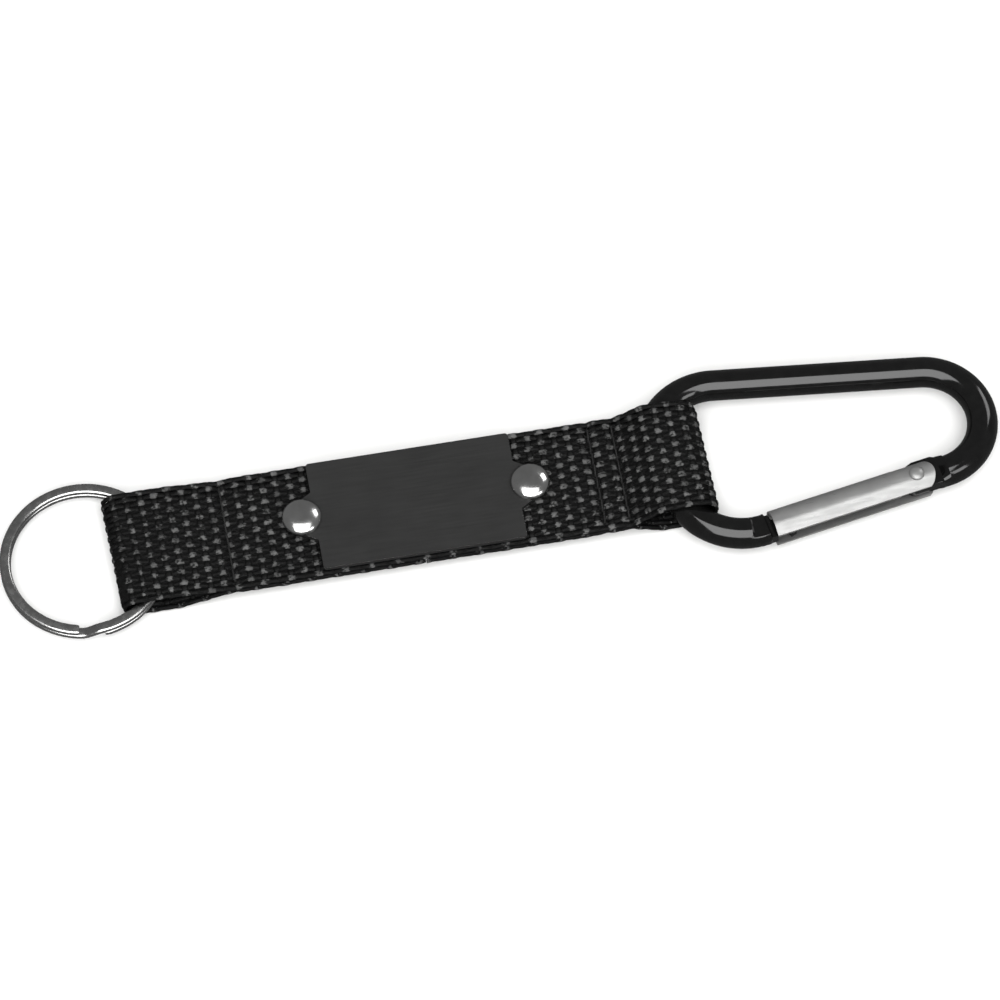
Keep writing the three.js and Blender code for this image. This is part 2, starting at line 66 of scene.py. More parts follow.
# Webbing: plain weave, two layers, one length folded round the ring and round the carabiner
WARPS = 21
WARP_PITCH = 0.95  # across the strap
PICK_PITCH = 2.17  # along the strap, from one weft to the next
WARP_RISE = 0.2
EDGE_WARP_RISE = 0.07  # the outer warps are held down by the weft's turns
WARP_HALF_THICK = 0.25
WARP_HALF_WIDTH = (0.4, 0.5)  # where it crosses between wefts, and on the crown of a float
WARP_SIDES = 8
WARP_STEP = PICK_PITCH / 7
CROWN_FLATNESS = 0.6
# Highlights on the warps' crowns are painted into the base colour as a lighter grey
CROWN_FROM = 0.66  # the painted highlight on the crown of a float, as shares of the way up to its top
CROWN_FULL = 0.9
CROWN_FRAY = 0.2  # play of the painted highlight's edge along the fibres
CROWN_BREAKUP = (-0.42, 0.3)  # play of the painted highlight's outline from place to place
CROWN_UNEVEN = (0.35, 1.15)  # shares of the full lightness
WEFT_RISE = 0.16
WEFT_HALF_THICK = 0.15
WEFT_HALF_WIDTH = 0.5
WEFT_TURN_HALF_WIDTH = 0.16  # its turns at the edges are drawn tight
WEFT_SIDES = 6
WEFT_STEPS_PER_WARP = 5
WEFT_TIGHT_FROM = 0.9  # inside the selvedge, where the weft begins to draw in
WEFT_TIGHT_OVER = 0.7
SELVEDGE = 9.75  # half the webbing's width, to the middle of the weft's turns
WEFT_TURN_OUT = 0.06  # how far its turns stand out at the edges
CORE_HALF_THICK = 0.12
CORE_HALF_WIDTH = 9.2
CORE_STEP = 0.6
CORE_END = 0.2
FULL_WIDTH = 20
LAYER_MIDDLE = (4.15, 2.85)  # heights of the two layers under the plate
SEAM_DIP = 0.4
SEAM_DIP_REACH = 0.9
YARN_WANDER = 0.035  # random sideways play of a yarn, and how often it changes along it
YARN_WANDER_STEP = 3

# Where the strap bends between its bodies, as distances from the middle of the plate
FLEX = (21.9, 26.6)
SWING = (34.3, 38.6)
LOOP_CUT = 31.4

# The folds' last entry is how far the painted highlights on the yarns' crowns fade towards the fold, where
# the webbing turns away from the light
RING_FOLD = {"side": -1, "flat_end": 33, "flat_z": 3.3, "open_full": 40, "centre": 47.35, "middle_z": 2.65,
             "radius": 2.0, "seams": (30.8,), "fold_width": 20, "lean": 0.04, "glint_fade": 0.2}
CARABINER_FOLD = {"side": 1, "flat_end": 33.9, "flat_z": 3.8, "open_full": 38.8, "centre": 43.9,
                  "middle_z": 4.1, "radius": 3.45, "seams": (29.4, 33.4),
                  "fold_width": 19.2, "lean": -0.02, "glint_fade": 0.0}
STRAIGHT_END = 25  # the two layers lie flat up to here
LAYER_APART = 0.65  # from the middle of the strap to the middle of one layer

# Stitches
SEAM_SPAN = 17
STITCHES = 8
PLY_R = 0.1
PLY_HALF = 0.11
TURNS_PER_STITCH = 2.5
STITCH_STEPS = 18  # points along one stitch
STITCH_LOW = 0.2
STITCH_RISE = 0.5
STITCH_SLANT = 0.25
FIBRES_PER_SEAM = 45
FIBRE_R = 0.022
FIBRE_SPREAD = 0.7  # how far from the seam they start
FIBRE_LENGTH = (0.8, 2.2)
FIBRE_CURL = 1.2
FIBRE_STAND_OFF = 0.45
FIBRE_LIFT = (0.1, 0.5)

# Rivets
RIVET_X = 18.6
RIVET_HEAD_R = 3.2
RIVET_BACK_R = 2.9
RIVET_SINK = 0.55
RIVET_DENT_MARGIN = 0.7  # how far past its edge the webbing is pressed in
RIVET_DENT_SLOPE = 0.6
# Profiles as (radius, height), from the axis to the axis or to the foot of the dome
RIVET_HEAD = [(0, 2.8), (1.4, 2.8), (1.4, 5.79), (RIVET_HEAD_R - 0.12, 5.79), (RIVET_HEAD_R, 5.88)]
RIVET_DOME = (5.98, 1.32)  # height of its rim, and its rise
RIVET_BACK = [(0, 2.7), (RIVET_BACK_R, 2.7), (RIVET_BACK_R, 2.4), (RIVET_BACK_R - 0.15, 2.26), (2.4, 2.2),
              (1.2, 2.2), (1.0, 2.34), (0, 2.36)]

# Split ring
RING_CENTRE = (-54, 0, 2.65)
RING_MIDDLE_R = 12.625
RING_BAND = 1.75
RING_COIL = 1
RING_RISE = 1.1
RING_RAMP_AT = math.radians(-92.5)
RING_RAMP = math.radians(15)
RING_STEPS = 420
RING_CORNER = 0.42  # radius along the wire's edges
RING_END_GAP = 0.03  # radians between an end of the wire and the climb
RING_END_TAPER = (0.86, 0.97)  # its last two cross-sections are a little smaller

# Carabiner
CARABINER_Z = 4.1
BAR_R = 2.5
BAR_SIDES = 64
CORNER_STEPS = 44
BOW_STEPS = 90
BOW = np.array((83.6, 0.4))
BOW_R = 9.3
END_R = 11
SPINE_SLOPE = math.radians(5.8)
SPINE_LENGTH = 33.8
GATE_SLOPE = math.radians(9.9)
GATE_SIDE_LENGTH = 31.3
PIVOT_FROM_BOW = 5.3
NOSE_FLAT_RINGS = 7  # cross-sections from the nose on that are milled flat above and below
NOSE_FLAT_HALF = 1.7  # half the height that is left there

# Gate
GATE_FREE = 24.7
GATE_HEEL = 3
GATE_R = 2.65
GATE_WALL = 0.4
FLANGE_TILT = math.radians(25)
FLANGE_EDGE = 2.55
BACK_CUT = 3.6
BACK_CUT_HALF = 1.5
HEEL_CENTRE = (0.1, -0.1)
HEEL_R = 2.9
CUTTER_REACH = 4  # how far a cutter goes past the gate to each side
CUTTER_PAST_END = 1
PLATE_EASE = 0.12
GATE_EASE = 0.07
HINGE_HEAD_R = 1.25
HINGE_SHANK_R = 0.8
HINGE_DOME = 0.6
HINGE_SINK = 0.08  # so that the head doesn't float off the flange

# Camera
VIEW_TURN = math.radians(9.98)
VIEW_HEIGHT = math.radians(62.96)
VIEW_DISTANCE = 0.9743
LENS = 218.08
SENSOR = 36
LOOK_AT = (13.43, -1.45, 4.0)

plate_low, plate_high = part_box("name_plate")
ORIGIN = np.array(((plate_low.x + plate_high.x) / 2, (plate_low.y + plate_high.y) / 2, 0))
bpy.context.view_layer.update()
draw = np.random.default_rng(SEED)


# ---- Meshes ----

def place(points):
    """Points of the strap's frame, in millimetres, as metres in the model's frame."""
    return np.asarray(points, float) * MM + ORIGIN


def mesh_piece(name, points, faces, finish, sharp=math.radians(38), uv=None):
    """A mesh object from points in millimetres, smooth except at edges sharper than the given angle.

    A yarn's uv has four columns: along it, round it, and twice how near it is to the crown of its float."""
    mesh = bpy.data.meshes.new(name)
    mesh.from_pydata(place(points).tolist(), [], faces if isinstance(faces, list) else faces.tolist())
    mesh.polygons.foreach_set("use_smooth", np.ones(len(mesh.polygons), bool))
    if uv is not None:
        corners = np.empty(len(mesh.loops), int)
        mesh.loops.foreach_get("vertex_index", corners)
        for layer_name, columns in (("yarn", slice(0, 2)), ("crown", slice(2, 4))):
            layer = mesh.uv_layers.new(name=layer_name)
            layer.data.foreach_set("uv", np.asarray(uv, np.float32)[corners, columns].ravel())
    mesh.materials.append(finish)
    mesh.validate()
    mesh.set_sharp_from_angle(angle=sharp)
    piece = bpy.data.objects.new(name, mesh)
    bpy.context.scene.collection.objects.link(piece)
    return piece


def grid_faces(rows, columns, first=0):
    """Quads of a tube of so many cross-sections, each with so many points."""
    row = np.arange(rows - 1)[:, None] * columns
    here = np.arange(columns)[None, :]
    after = (here + 1) % columns
    quads = np.stack([row + here, row + after, row + columns + after, row + columns + here], axis=-1)
    return (quads.reshape(-1, 4) + first).tolist()


def tube(rings):
    """Points and faces of a tube through cross-sections, with flat ends."""
    rows, columns = rings.shape[:2]
    faces = grid_faces(rows, columns)
    last = (rows - 1) * columns
    faces.append(list(range(columns))[::-1])
    faces.append([last + i for i in range(columns)])
    return rings.reshape(-1, 3), faces


def joined(parts):
    """Several (points, faces, uv) as one."""
    points, faces, uvs, first = [], [], [], 0
    for part_points, part_faces, part_uv in parts:
        points.append(part_points)
        faces.extend([[i + first for i in face] for face in part_faces])
        uvs.append(part_uv)
        first += len(part_points)
    return np.vstack(points), faces, np.vstack(uvs)


def turned(profile, centre, steps=72):
    """A turned shape about an upright axis. The profile is (radius, height), from the axis to the axis."""
    profile = np.asarray(profile, float)
    inner = profile[1:-1]
    angle = np.linspace(0, 2 * math.pi, steps, endpoint=False)
    rings = np.stack([
        np.outer(inner[:, 0], np.cos(angle)),
        np.outer(inner[:, 0], np.sin(angle)),
        np.repeat(inner[:, 1][:, None], steps, axis=1),
    ], axis=-1)
    points = rings.reshape(-1, 3)
    faces = grid_faces(len(inner), steps)
    start, end = len(points), len(points) + 1
    points = np.vstack([points, [0, 0, profile[0, 1]], [0, 0, profile[-1, 1]]])
    last = (len(inner) - 1) * steps
    for i in range(steps):
        j = (i + 1) % steps
        faces.append([start, j, i])
        faces.append([end, last + i, last + j])
    return points + np.array(centre), faces


def dome(radius, rim, rise, steps=16):
    """Profile of a dome from its rim to the axis."""
    turn = np.linspace(0, math.pi / 2, steps)
    return [(radius * math.cos(t), rim + rise * math.sin(t)) for t in turn[:-1]] + [(0, rim + rise)]


# ---- Materials ----

def material(name, color, roughness, metallic=0.0, settings=()):
    """A Principled material, with further sockets set by name."""
    made = bpy.data.materials.new(name)
    made.use_nodes = True
    shader = made.node_tree.nodes["Principled BSDF"]
    shader.inputs["Base Color"].default_value = (*color, 1)
    shader.inputs["Roughness"].default_value = roughness
    shader.inputs["Metallic"].default_value = metallic
    for socket, value in settings:
        shader.inputs[socket].default_value = value
    return made


def node(made, kind, links=(), **values):
    """Adds a node, sets its inputs by name and links inputs to other nodes' outputs."""
    added = made.node_tree.nodes.new(kind)
    for key, value in values.items():
        setattr(added, key, value)
    for socket, source in links:
        made.node_tree.links.new(source, added.inputs[socket])
    return added


def noise(made, coordinates, stretch, scale, detail=3.0):
    """Noise on coordinates that are first stretched along each axis."""
    mapping = node(made, "ShaderNodeMapping", [("Vector", coordinates)])
    mapping.inputs["Scale"].default_value = stretch
    grain = node(made, "ShaderNodeTexNoise", [("Vector", mapping.outputs["Vector"])])
    grain.inputs["Scale"].default_value = scale
    grain.inputs["Detail"].default_value = detail
    return grain.outputs["Fac"]


def spread(made, source, low, high, start=0.3, end=0.7):
    """A noise value spread over a range."""
    ranged = node(made, "ShaderNodeMapRange", [("Value", source)])
    ranged.inputs["From Min"].default_value = start
    ranged.inputs["From Max"].default_value = end
    ranged.inputs["To Min"].default_value = low
    ranged.inputs["To Max"].default_value = high
    return ranged.outputs["Result"]


def shades(made, source, dark, light, start=0.3, end=0.7):
    """Two colours mixed by a noise value."""
    ramp = node(made, "ShaderNodeValToRGB", [("Fac", source)])
    ramp.color_ramp.elements[0].position = start
    ramp.color_ramp.elements[1].position = end
    ramp.color_ramp.elements[0].color = (*dark, 1)
    ramp.color_ramp.elements[1].color = (*light, 1)
    return ramp.outputs["Color"]


def bump(made, source, strength, depth):
    """Bump of a depth in metres."""
    raised = node(made, "ShaderNodeBump", [("Height", source)])
    raised.inputs["Strength"].default_value = strength
    raised.inputs["Distance"].default_value = depth
    return raised.outputs["Normal"]


def connect(made, socket, source):
    made.node_tree.links.new(source, made.node_tree.nodes["Principled BSDF"].inputs[socket])


def grey(value):
    return (value, value, value * 0.99)


def yarn_material(name, level, roughness, glint_level=None):
    """Black polypropylene yarn: fibres along it, small differences from place to place, and highlights
    painted on the crowns of its floats.
    """
    made = material(name, grey(level), roughness,
                    settings=[("Specular IOR Level", 0.14)])
    uv = node(made, "ShaderNodeUVMap", uv_map="yarn").outputs["UV"]
    place_in = node(made, "ShaderNodeTexCoord").outputs["Object"]
    fibres = noise(made, uv, (0.5, 9.0, 1.0), 1.6, 4)
    patches = noise(made, place_in, (1, 1, 1), 500, 2)
    connect(made, "Base Color", shades(made, patches, grey(level * 0.75), grey(level * 1.3)))
    connect(made, "Roughness", spread(made, fibres, roughness - 0.1, roughness + 0.12))
    connect(made, "Normal", bump(made, fibres, 0.55, 0.00012))
    # painted highlights on the crowns of the floats, as a lighter base colour
    if glint_level is not None:
        paint_crown_glints(made, level, glint_level, fibres, patches)
    return made


def paint_crown_glints(made, level, glint_level, fibres, patches):
    """Paints highlights on the crowns of a yarn's floats as a lighter base colour, broken up by its fibres
    and uneven from place to place.
    """
    crown = node(made, "ShaderNodeUVMap", uv_map="crown").outputs["UV"]
    near = node(made, "ShaderNodeSeparateXYZ", [("Vector", crown)]).outputs["X"]
    place_in = node(made, "ShaderNodeTexCoord").outputs["Object"]
    breakup_noise = noise(made, place_in, (1, 1, 1), 1900, 2)
    fray = spread(made, fibres, -CROWN_FRAY, CROWN_FRAY)
    frayed = node(made, "ShaderNodeMath", [(0, near), (1, fray)], operation="ADD").outputs["Value"]
    breakup = spread(made, breakup_noise, *CROWN_BREAKUP)
    broken_up = node(made, "ShaderNodeMath", [(0, frayed), (1, breakup)], operation="ADD").outputs["Value"]
    glint = spread(made, broken_up, 0, 1, CROWN_FROM, CROWN_FULL)
    uneven = spread(made, patches, *CROWN_UNEVEN)
    share = node(made, "ShaderNodeMath", [(0, glint), (1, uneven)], operation="MULTIPLY").outputs["Value"]
    # the painted highlight: base colour from the yarn's dark grey up to the highlight's lightness
    connect(made, "Base Color", shades(made, share, grey(level), grey(glint_level), 0.0, 1.0))


def plate_material():
    """Dark satin metal with a fine grain along the plate."""
    made = material("plate_satin", grey(0.03), 0.42, 0.35, [("Specular IOR Level", 0.4)])
    place_in = node(made, "ShaderNodeTexCoord").outputs["Object"]
    grain = noise(made, place_in, (60, 1600, 1600), 2.5, 3)
    wear = noise(made, place_in, (1, 1, 1), 160, 4)
    connect(made, "Base Color", shades(made, wear, grey(0.023), grey(0.027)))
    connect(made, "Roughness", spread(made, grain, 0.36, 0.5))
    connect(made, "Normal", bump(made, grain, 0.16, 0.00004))
    return made


def bright_metal(name, level, roughness, stretch, depth=0.00002, strength=0.15, metallic=1.0):
    """Bright metal with a fine drawn grain and small rubbed marks."""
    made = material(name, grey(level), roughness, metallic)
    place_in = node(made, "ShaderNodeTexCoord").outputs["Object"]
    grain = noise(made, place_in, stretch, 2.0, 3)
    marks = noise(made, place_in, (1, 1, 1), 420, 5)
    connect(made, "Base Color", shades(made, marks, grey(level * 0.9), grey(min(1, level * 1.05))))
    connect(made, "Roughness", spread(made, grain, roughness * 0.75, roughness * 1.3))
    connect(made, "Normal", bump(made, grain, strength, depth))
    return made


def gloss_black():
    """Gloss black coating on the bar, slightly uneven, rubbed in a few places."""
    made = material("carabiner_black", grey(0.004), 0.1)
    place_in = node(made, "ShaderNodeTexCoord").outputs["Object"]
    marks = noise(made, place_in, (1, 1, 1), 700, 5)
    waves = noise(made, place_in, (1, 1, 1), 260, 2)
    connect(made, "Base Color", shades(made, marks, grey(0.0032), grey(0.0052)))
    connect(made, "Roughness", spread(made, marks, 0.07, 0.14))
    connect(made, "Normal", bump(made, waves, 0.05, 0.00006))
    return made


# 0.11 is the lightness of the highlights painted on the warps' crowns
YARN = yarn_material("webbing_yarn", 0.003, 0.4, 0.11)
WEFT = yarn_material("webbing_weft", 0.004, 0.5)
CORE = yarn_material("webbing_core", 0.003, 0.8)
THREAD = yarn_material("sewing_thread", 0.022, 0.4)
PLATE = plate_material()
PLATE_EDGE = bright_metal("plate_cut_edge", 0.35, 0.35, (900, 900, 900))
NICKEL = bright_metal("nickel_plate", 0.66, 0.17, (300, 300, 300))
RING_STEEL = bright_metal("ring_steel", 0.5, 0.24, (500, 500, 1800))
BLACK = gloss_black()
ALUMINIUM = bright_metal("gate_aluminium", 0.3, 0.36, (50, 1500, 1500), 0.00002, 0.1, 0.6)
STEEL = bright_metal("spring_steel_wire", 0.5, 0.3, (400, 400, 400))


# ---- Webbing ----

class Layer:
    """The doubled webbing on one side of the plate, as a surface: its middle line in X and Z, from the middle
    of the plate out along the upper layer, round the fold and back along the lower layer."""

    FINE = 0.05
    ROUNDING = 0.6

    def __init__(self, fold):
        self.fold = fold
        self.side = fold["side"]
        line = self.smoothed(self.corners())
        self.x, self.z = line.T
        leg = np.hypot(np.diff(self.x), np.diff(self.z))
        self.s = np.concatenate([[0], np.cumsum(leg)])
        self.length = self.s[-1]
        self.top_end = self.s[np.argmax(self.x)]
        self.dip_seams()
        self.tx = np.gradient(self.x, self.s)
        self.tz = np.gradient(self.z, self.s)

    def corners(self):
        f = self.fold
        turn = np.linspace(math.pi / 2, -math.pi / 2, 25)
        radius = f["radius"]
        fold = [(f["centre"] + radius * math.cos(t), f["middle_z"] + radius * math.sin(t)) for t in turn]
        top, bottom = LAYER_MIDDLE
        upper = [(0, top), (STRAIGHT_END, top), (f["flat_end"], f["flat_z"] + LAYER_APART),
                 (f["open_full"], f["middle_z"] + f["radius"])]
        lower = [(f["open_full"], f["middle_z"] - f["radius"]), (f["flat_end"], f["flat_z"] - LAYER_APART),
                 (STRAIGHT_END, bottom), (0, bottom)]
        return np.array(upper + fold + lower, float)

    def smoothed(self, corners):
        leg = np.hypot(*np.diff(corners, axis=0).T)
        at = np.concatenate([[0], np.cumsum(leg)])
        fine = np.arange(0, at[-1], self.FINE)
        line = np.column_stack([np.interp(fine, at, corners[:, k]) for k in (0, 1)])
        reach = int(4 * self.ROUNDING / self.FINE)
        kernel = np.exp(-0.5 * (np.arange(-reach, reach + 1) * self.FINE / self.ROUNDING) ** 2)
        kernel /= kernel.sum()
        padded = np.pad(line, ((reach, reach), (0, 0)), mode="reflect", reflect_type="odd")
        return np.column_stack([np.convolve(padded[:, k], kernel, "valid") for k in (0, 1)])

    def dip_seams(self):
        """The stitches pull both layers together."""
        inwards = np.where(self.s < self.top_end, -1, 1)
        for seam in self.fold["seams"]:
            self.z = self.z + inwards * SEAM_DIP * np.exp(-(((self.x - seam) / SEAM_DIP_REACH) ** 2))

    def at(self, x, upper=True):
        """Distance along the surface where it passes x."""
        part = (self.s < self.top_end) if upper else (self.s > self.top_end)
        return self.s[part][np.argmin(np.abs(self.x[part] - x))]

    def narrowing(self, s):
        """Share of the full width: the webbing draws in towards the fold."""
        x = np.interp(s, self.s, self.x)
        start, end = self.fold["flat_end"], self.fold["centre"]
        return 1 - (1 - self.fold["fold_width"] / FULL_WIDTH) * np.clip((x - start) / (end - start), 0, 1)

    def leaning(self, s, y):
        """How far out a place lies because the fold isn't quite square to the strap."""
        x = np.interp(s, self.s, self.x)
        start, end = self.fold["flat_end"], self.fold["centre"]
        return self.fold["lean"] * y * np.clip((x - start) / (end - start), 0, 1)

    def glint_fade(self, s):
        """How much the highlights painted on the crowns fade towards the fold, where the webbing turns away
        from the light.
        """
        x = np.interp(s, self.s, self.x)
        start, end = self.fold["open_full"], self.fold["centre"]
        return self.fold["glint_fade"] * np.clip((x - start) / (end - start), 0, 1)

    def dent(self, s, y):
        """How far the lower layer is pressed in round the rivet's back."""
        x = np.interp(s, self.s, self.x)
        off = np.hypot(x - RIVET_X, y)
        share = np.clip((RIVET_BACK_R + RIVET_DENT_MARGIN - off) / RIVET_DENT_SLOPE, 0, 1)
        return RIVET_SINK * share * (s > self.top_end)

    def yarn(self, s, y, height, half_width, half_thick, sides, crown=0.0):
        """A flattened yarn along points of the surface: distance, place across and height above it."""
        s, y, height = (np.asarray(v, float) for v in np.broadcast_arrays(s, y, height))
        narrow = self.narrowing(s)
        height = height - self.dent(s, y)
        x, z, tx, tz = (np.interp(s, self.s, v) for v in (self.x, self.z, self.tx, self.tz))
        size = np.hypot(tx, tz)
        along = np.column_stack([self.side * tx / size, np.zeros_like(s), tz / size])
        out = np.column_stack([-self.side * tz / size, np.zeros_like(s), tx / size])
        surface = np.column_stack([self.side * (x + self.leaning(s, y)), y * narrow, z])
        centre = surface + out * height[:, None]
        ds, dy = np.gradient(s), np.gradient(y)
        run = np.hypot(ds, dy)
        across = along * (-dy / run)[:, None]
        across[:, 1] += ds / run
        turn = np.linspace(0, 2 * math.pi, sides, endpoint=False)
        wide = np.broadcast_to(half_width, s.shape)[:, None, None] * np.cos(turn)[None, :, None]
        thick = np.broadcast_to(half_thick, s.shape)[:, None, None] * np.sin(turn)[None, :, None]
        rings = centre[:, None, :] + across[:, None, :] * wide + out[:, None, :] * thick
        points, faces = tube(rings)
        if self.side < 0:
            faces = [face[::-1] for face in faces]
        length = np.concatenate([[0], np.cumsum(np.hypot(np.diff(s), np.diff(y)))])
        uv = np.stack(np.broadcast_arrays(length[:, None], np.abs(turn - math.pi)[None, :]), axis=-1)
        uv = uv.reshape(-1, 2) + draw.random(2) * 50
        crown = np.repeat(np.broadcast_to(crown, s.shape), sides)[:, None]
        return points, faces, np.hstack([uv, crown, crown])

    def warps(self):
        """Yarns along the strap, each over one weft and under the next."""
        s = np.linspace(0, self.length, int(self.length / WARP_STEP))
        parts = []
        for j in range(WARPS):
            y = (j - (WARPS - 1) / 2) * WARP_PITCH
            wave = np.cos(math.pi * s / PICK_PITCH + math.pi * j)
            rise = EDGE_WARP_RISE if j in (0, WARPS - 1) else WARP_RISE
            height = rise * np.tanh(CROWN_FLATNESS * wave) / math.tanh(CROWN_FLATNESS)
            low, high = WARP_HALF_WIDTH
            width = low + (high - low) * np.abs(wave)
            places = np.arange(0, self.length + YARN_WANDER_STEP, YARN_WANDER_STEP)
            wander = YARN_WANDER * np.interp(s, places, draw.normal(size=len(places)))
            # the painted crown highlights fade towards the fold
            crown = wave - self.glint_fade(s)
            parts.append(self.yarn(s, y + wander, height, width, WARP_HALF_THICK, WARP_SIDES, crown))
        return parts

    def weft(self):
        """The yarn across the strap, back and forth, with a turn round the outer warp at each side."""
        s, y = [], []
        steps = WARPS * WEFT_STEPS_PER_WARP
        turn = np.linspace(-math.pi / 2, math.pi / 2, 7)[1:-1]
        picks = int((self.length - 0.5) // PICK_PITCH)
        for k in range(1, picks + 1):
            way = 1 if k % 2 else -1
            across = np.linspace(-SELVEDGE, SELVEDGE, steps) * way
            s.extend(np.full(steps, k * PICK_PITCH))
            y.extend(across)
            if k < picks:
                s.extend((k + 0.5 + 0.5 * np.sin(turn)) * PICK_PITCH)
                y.extend(way * (SELVEDGE + WEFT_TURN_OUT * np.cos(turn)))
        s, y = np.array(s), np.array(y)
        height = -WEFT_RISE * np.cos(math.pi * y / WARP_PITCH) * np.cos(math.pi * s / PICK_PITCH)
        tight = np.clip((np.abs(y) - SELVEDGE + WEFT_TIGHT_FROM) / WEFT_TIGHT_OVER, 0, 1)
        half_width = WEFT_HALF_WIDTH + (WEFT_TURN_HALF_WIDTH - WEFT_HALF_WIDTH) * tight
        return [self.yarn(s, y, height, half_width, WEFT_HALF_THICK, WEFT_SIDES)]

    def core(self, spans):
        """The hidden body of the webbing between the yarns' crowns, over spans of the surface."""
        parts = []
        for start, end in spans:
            s = np.linspace(start, end, int((end - start) / CORE_STEP))
            parts.append(self.yarn(s, 0 * s, 0 * s, CORE_HALF_WIDTH, CORE_HALF_THICK, 8))
        return parts

    def core_spans(self, pieces):
        """Spans of the surface in each piece: all of it, or the flat part's two layers and then the loop."""
        first, last = CORE_END, self.length - CORE_END
        if pieces == 1:
            return [[(first, last)]]
        out, back = self.at(LOOP_CUT, True), self.at(LOOP_CUT, False)
        return [[(first, out), (back, last)], [(out, back)]]

    def stitches(self, x, upper):
        """A row of two-ply stitches across the strap and the loose fibres beside it."""
        middle = self.at(x, upper)
        pitch = SEAM_SPAN / STITCHES
        t = np.linspace(0, STITCHES, STITCHES * STITCH_STEPS + 1)
        height = STITCH_LOW + STITCH_RISE * np.sqrt(np.abs(np.sin(math.pi * t)))
        parts = []
        for ply in (0, math.pi):
            twist = 2 * math.pi * TURNS_PER_STITCH * t + ply
            slant = STITCH_SLANT * (t % 1 - 0.5)
            s = middle + slant + PLY_R * np.cos(twist)
            y = -SEAM_SPAN / 2 + t * pitch
            parts.append(self.yarn(s, y, height + PLY_R * np.sin(twist), PLY_HALF, PLY_HALF, 6))
        for _ in range(FIBRES_PER_SEAM):
            parts.append(self.fibre(middle))
        return parts

    def fibre(self, middle):
        """One loose fibre that stands off the webbing near a seam."""
        start_s = middle + draw.normal(0, FIBRE_SPREAD)
        start_y = draw.uniform(-SEAM_SPAN / 2, SEAM_SPAN / 2)
        heading = draw.uniform(0, 2 * math.pi)
        length = draw.uniform(*FIBRE_LENGTH)
        curl = draw.uniform(-FIBRE_CURL, FIBRE_CURL)
        t = np.linspace(0, 1, 6)
        s = start_s + length * t * np.cos(heading + curl * t)
        y = start_y + length * t * np.sin(heading + curl * t)
        height = FIBRE_STAND_OFF + draw.uniform(*FIBRE_LIFT) * np.sin(math.pi * t)
        return self.yarn(s, y, height, FIBRE_R, FIBRE_R, 3)


def split_at(points, faces, uv, cut):
    """Parts of a mesh on both sides of an X, as two (points, faces, uv)."""
    points = np.asarray(points)
    beyond = [points[face, 0].mean() > cut for face in faces]
    halves = []
    for wanted in (False, True):
        kept = [face for face, far in zip(faces, beyond) if far == wanted]
        used = np.unique(np.concatenate([np.array(face) for face in kept]))
        renumber = np.full(len(points), -1)
        renumber[used] = np.arange(len(used))
        halves.append((points[used], [renumber[face].tolist() for face in kept], uv[used]))
    return halves


def bend(piece):
    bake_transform(piece)


def bent_piece(name, chunk, finish):
    """A piece of webbing, with its place baked into its points."""
    piece = mesh_piece(name, chunk[0], chunk[1], finish, math.pi, chunk[2])
    bend(piece)
    return piece


def yarn_pieces(name, parts, finish, sections):
    """The yarns of one side of the strap, in one piece for each section of it."""
    whole = joined(parts)
    chunks = [whole] if len(sections) == 1 else split_at(*whole, LOOP_CUT)
    return [bent_piece(name + suffix, chunk, finish)
            for (suffix, bodies, span), chunk in zip(sections, chunks)]


def webbing(fold, name, sections, replaced):
    """One side of the strap. A section is the end of its pieces' names, its two bodies and where it bends."""
    layer = Layer(fold)
    warps = yarn_pieces(f"{name}_warps", layer.warps(), YARN, sections)
    wefts = yarn_pieces(f"{name}_wefts", layer.weft(), WEFT, sections)
    for piece, nodes in zip(warps, replaced):
        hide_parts(*nodes)
    for i, spans in enumerate(layer.core_spans(len(sections))):
        suffix, bodies, span = sections[i]
        core = bent_piece(f"{name}_core{suffix}", joined(layer.core(spans)), CORE)
    return layer


def seam(layer, name, x, body):
    for thread, upper in (("needle", True), ("bobbin", False)):
        points, faces, uv = joined(layer.stitches(x, upper))
        piece = mesh_piece(f"{name}_{thread}_stitches", points, faces, THREAD, math.pi, uv)
        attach(piece, body)
        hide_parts(f"{name}_{thread}_thread")


def build_webbing():
    ring_side = webbing(
        RING_FOLD, "webbing_ring_side",
        [("", ("strap", "ring_end"), FLEX)],
        [("webbing_middle", "webbing_ring_loop")],
    )
    carabiner_side = webbing(
        CARABINER_FOLD, "webbing_carabiner_side",
        [("", ("strap", "carabiner_end"), FLEX), ("_loop", ("carabiner_end", "carabiner"), SWING)],
        [("webbing_middle",), ("webbing_carabiner_loop",)],
    )
    seam(ring_side, "ring_seam", RING_FOLD["seams"][0], "ring_end")
    seam(carabiner_side, "carabiner_seam_inner", CARABINER_FOLD["seams"][0], "carabiner_end")
    seam(carabiner_side, "carabiner_seam_outer", CARABINER_FOLD["seams"][1], "carabiner_end")


# ---- Plate and rivets ----

def dress_plate():
    """The CAD plate with its edges eased and its cut edge bright."""
    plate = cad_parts["name_plate"]
    plate.data.materials.clear()
    plate.data.materials.append(PLATE)
    plate.data.materials.append(PLATE_EDGE)
    weld = plate.modifiers.new("weld", "WELD")
    weld.merge_threshold = 1e-6
    eased = plate.modifiers.new("eased", "BEVEL")
    eased.width = PLATE_EASE * MM
    eased.segments = 2
    eased.limit_method = "ANGLE"
    eased.angle_limit = math.radians(40)
    eased.material = 1


